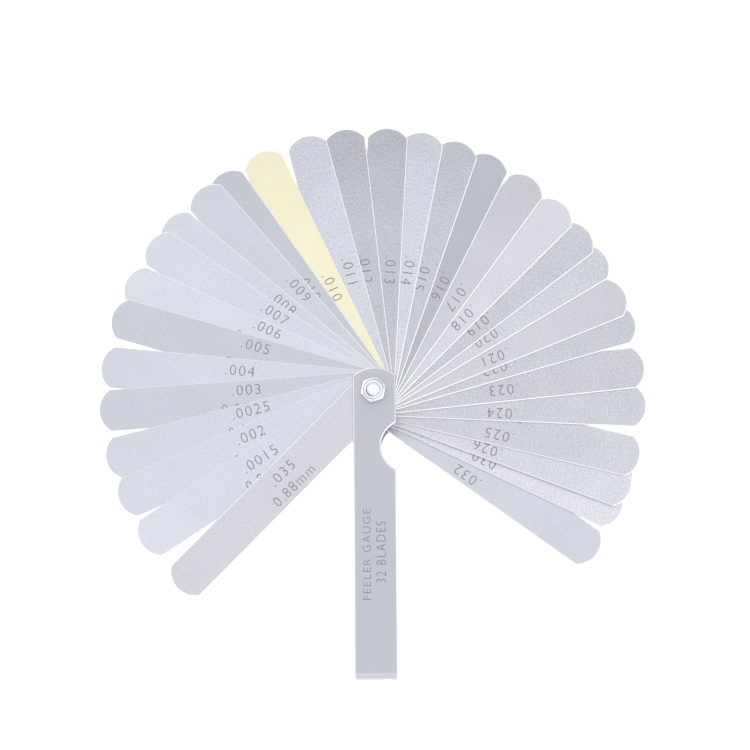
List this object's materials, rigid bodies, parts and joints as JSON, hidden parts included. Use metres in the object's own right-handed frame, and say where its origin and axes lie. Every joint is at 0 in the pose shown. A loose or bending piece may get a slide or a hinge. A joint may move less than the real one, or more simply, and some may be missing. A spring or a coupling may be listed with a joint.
{
  "type": "feeler gauge",
  "caption": "Fan of flat leaf blades of graded thickness that swing out of a folded sheet-steel holder about one pivot screw.",
  "frame": {"origin": "on the pivot axis, at the flat underside of the pivot screw's head, which is the lowest face", "axes": "+Z along the pivot screw towards its nut, +Y from the holder's far end towards the pivot, +X to the right seen from the nut with +Y up"},
  "size_m": [0.1677, 0.1707, 0.0214],
  "materials": {
    "holder": "satin pressed steel",
    "pivot_screw": "bright nickel plate",
    "hex_nut": "bright nickel plate",
    "blade_035": "ground spring steel",
    "blade_0015": "ground spring steel",
    "blade_002": "ground spring steel",
    "blade_0025": "ground spring steel",
    "blade_003": "ground spring steel",
    "blade_004": "ground spring steel",
    "blade_005": "ground spring steel",
    "blade_006": "ground spring steel",
    "blade_007": "ground spring steel",
    "blade_008": "ground spring steel",
    "blade_009": "ground spring steel",
    "blade_010": "ground spring steel",
    "blade_010_brass": "ground spring brass",
    "blade_011": "ground spring steel",
    "blade_012": "ground spring steel",
    "blade_013": "ground spring steel",
    "blade_014": "ground spring steel",
    "blade_015": "ground spring steel",
    "blade_016": "ground spring steel",
    "blade_017": "ground spring steel",
    "blade_018": "ground spring steel",
    "blade_019": "ground spring steel",
    "blade_020": "ground spring steel",
    "blade_021": "ground spring steel",
    "blade_022": "ground spring steel",
    "blade_023": "ground spring steel",
    "blade_024": "ground spring steel",
    "blade_025": "ground spring steel",
    "blade_026": "ground spring steel",
    "blade_028": "ground spring steel",
    "blade_030": "ground spring steel",
    "blade_032": "ground spring steel"
  },
  "bodies": {
    "holder": {"holder": "holder", "pivot_screw": "pivot_screw", "hex_nut": "hex_nut"},
    "blade_035": {"blade_035": "blade_035"},
    "blade_0015": {"blade_0015": "blade_0015"},
    "blade_002": {"blade_002": "blade_002"},
    "blade_0025": {"blade_0025": "blade_0025"},
    "blade_003": {"blade_003": "blade_003"},
    "blade_004": {"blade_004": "blade_004"},
    "blade_005": {"blade_005": "blade_005"},
    "blade_006": {"blade_006": "blade_006"},
    "blade_007": {"blade_007": "blade_007"},
    "blade_008": {"blade_008": "blade_008"},
    "blade_009": {"blade_009": "blade_009"},
    "blade_010": {"blade_010": "blade_010"},
    "blade_010_brass": {"blade_010_brass": "blade_010_brass"},
    "blade_011": {"blade_011": "blade_011"},
    "blade_012": {"blade_012": "blade_012"},
    "blade_013": {"blade_013": "blade_013"},
    "blade_014": {"blade_014": "blade_014"},
    "blade_015": {"blade_015": "blade_015"},
    "blade_016": {"blade_016": "blade_016"},
    "blade_017": {"blade_017": "blade_017"},
    "blade_018": {"blade_018": "blade_018"},
    "blade_019": {"blade_019": "blade_019"},
    "blade_020": {"blade_020": "blade_020"},
    "blade_021": {"blade_021": "blade_021"},
    "blade_022": {"blade_022": "blade_022"},
    "blade_023": {"blade_023": "blade_023"},
    "blade_024": {"blade_024": "blade_024"},
    "blade_025": {"blade_025": "blade_025"},
    "blade_026": {"blade_026": "blade_026"},
    "blade_028": {"blade_028": "blade_028"},
    "blade_030": {"blade_030": "blade_030"},
    "blade_032": {"blade_032": "blade_032"}
  },
  "joints": [
    {"name": "blade_035_swing", "type": "hinge", "parent": "holder", "child": "blade_035", "pos_m": [0, 0, 0], "axis": [0, 0, 1], "range_deg": [-315, 45]},
    {"name": "blade_0015_swing", "type": "hinge", "parent": "holder", "child": "blade_0015", "pos_m": [0, 0, 0], "axis": [0, 0, 1], "range_deg": [-303, 57]},
    {"name": "blade_002_swing", "type": "hinge", "parent": "holder", "child": "blade_002", "pos_m": [0, 0, 0], "axis": [0, 0, 1], "range_deg": [-293, 67]},
    {"name": "blade_0025_swing", "type": "hinge", "parent": "holder", "child": "blade_0025", "pos_m": [0, 0, 0], "axis": [0, 0, 1], "range_deg": [-284, 76]},
    {"name": "blade_003_swing", "type": "hinge", "parent": "holder", "child": "blade_003", "pos_m": [0, 0, 0], "axis": [0, 0, 1], "range_deg": [-273.5, 86.5]},
    {"name": "blade_004_swing", "type": "hinge", "parent": "holder", "child": "blade_004", "pos_m": [0, 0, 0], "axis": [0, 0, 1], "range_deg": [-264, 96]},
    {"name": "blade_005_swing", "type": "hinge", "parent": "holder", "child": "blade_005", "pos_m": [0, 0, 0], "axis": [0, 0, 1], "range_deg": [-253, 107]},
    {"name": "blade_006_swing", "type": "hinge", "parent": "holder", "child": "blade_006", "pos_m": [0, 0, 0], "axis": [0, 0, 1], "range_deg": [-245, 115]},
    {"name": "blade_007_swing", "type": "hinge", "parent": "holder", "child": "blade_007", "pos_m": [0, 0, 0], "axis": [0, 0, 1], "range_deg": [-235.5, 124.5]},
    {"name": "blade_008_swing", "type": "hinge", "parent": "holder", "child": "blade_008", "pos_m": [0, 0, 0], "axis": [0, 0, 1], "range_deg": [-229.5, 130.5]},
    {"name": "blade_009_swing", "type": "hinge", "parent": "holder", "child": "blade_009", "pos_m": [0, 0, 0], "axis": [0, 0, 1], "range_deg": [-220, 140]},
    {"name": "blade_010_swing", "type": "hinge", "parent": "holder", "child": "blade_010", "pos_m": [0, 0, 0], "axis": [0, 0, 1], "range_deg": [-214.5, 145.5]},
    {"name": "blade_010_brass_swing", "type": "hinge", "parent": "holder", "child": "blade_010_brass", "pos_m": [0, 0, 0], "axis": [0, 0, 1], "range_deg": [-205, 155]},
    {"name": "blade_011_swing", "type": "hinge", "parent": "holder", "child": "blade_011", "pos_m": [0, 0, 0], "axis": [0, 0, 1], "range_deg": [-194.5, 165.5]},
    {"name": "blade_012_swing", "type": "hinge", "parent": "holder", "child": "blade_012", "pos_m": [0, 0, 0], "axis": [0, 0, 1], "range_deg": [-186, 174]},
    {"name": "blade_013_swing", "type": "hinge", "parent": "holder", "child": "blade_013", "pos_m": [0, 0, 0], "axis": [0, 0, 1], "range_deg": [-176.5, 183.5]},
    {"name": "blade_014_swing", "type": "hinge", "parent": "holder", "child": "blade_014", "pos_m": [0, 0, 0], "axis": [0, 0, 1], "range_deg": [-168.5, 191.5]},
    {"name": "blade_015_swing", "type": "hinge", "parent": "holder", "child": "blade_015", "pos_m": [0, 0, 0], "axis": [0, 0, 1], "range_deg": [-160.5, 199.5]},
    {"name": "blade_016_swing", "type": "hinge", "parent": "holder", "child": "blade_016", "pos_m": [0, 0, 0], "axis": [0, 0, 1], "range_deg": [-153, 207]},
    {"name": "blade_017_swing", "type": "hinge", "parent": "holder", "child": "blade_017", "pos_m": [0, 0, 0], "axis": [0, 0, 1], "range_deg": [-143.5, 216.5]},
    {"name": "blade_018_swing", "type": "hinge", "parent": "holder", "child": "blade_018", "pos_m": [0, 0, 0], "axis": [0, 0, 1], "range_deg": [-134.5, 225.5]},
    {"name": "blade_019_swing", "type": "hinge", "parent": "holder", "child": "blade_019", "pos_m": [0, 0, 0], "axis": [0, 0, 1], "range_deg": [-127, 233]},
    {"name": "blade_020_swing", "type": "hinge", "parent": "holder", "child": "blade_020", "pos_m": [0, 0, 0], "axis": [0, 0, 1], "range_deg": [-120.5, 239.5]},
    {"name": "blade_021_swing", "type": "hinge", "parent": "holder", "child": "blade_021", "pos_m": [0, 0, 0], "axis": [0, 0, 1], "range_deg": [-111.5, 248.5]},
    {"name": "blade_022_swing", "type": "hinge", "parent": "holder", "child": "blade_022", "pos_m": [0, 0, 0], "axis": [0, 0, 1], "range_deg": [-105.5, 254.5]},
    {"name": "blade_023_swing", "type": "hinge", "parent": "holder", "child": "blade_023", "pos_m": [0, 0, 0], "axis": [0, 0, 1], "range_deg": [-95.5, 264.5]},
    {"name": "blade_024_swing", "type": "hinge", "parent": "holder", "child": "blade_024", "pos_m": [0, 0, 0], "axis": [0, 0, 1], "range_deg": [-87, 273]},
    {"name": "blade_025_swing", "type": "hinge", "parent": "holder", "child": "blade_025", "pos_m": [0, 0, 0], "axis": [0, 0, 1], "range_deg": [-76, 284]},
    {"name": "blade_026_swing", "type": "hinge", "parent": "holder", "child": "blade_026", "pos_m": [0, 0, 0], "axis": [0, 0, 1], "range_deg": [-69, 291]},
    {"name": "blade_028_swing", "type": "hinge", "parent": "holder", "child": "blade_028", "pos_m": [0, 0, 0], "axis": [0, 0, 1], "range_deg": [-70, 290]},
    {"name": "blade_030_swing", "type": "hinge", "parent": "holder", "child": "blade_030", "pos_m": [0, 0, 0], "axis": [0, 0, 1], "range_deg": [-64, 296]},
    {"name": "blade_032_swing", "type": "hinge", "parent": "holder", "child": "blade_032", "pos_m": [0, 0, 0], "axis": [0, 0, 1], "range_deg": [-54, 306]}
  ]
}
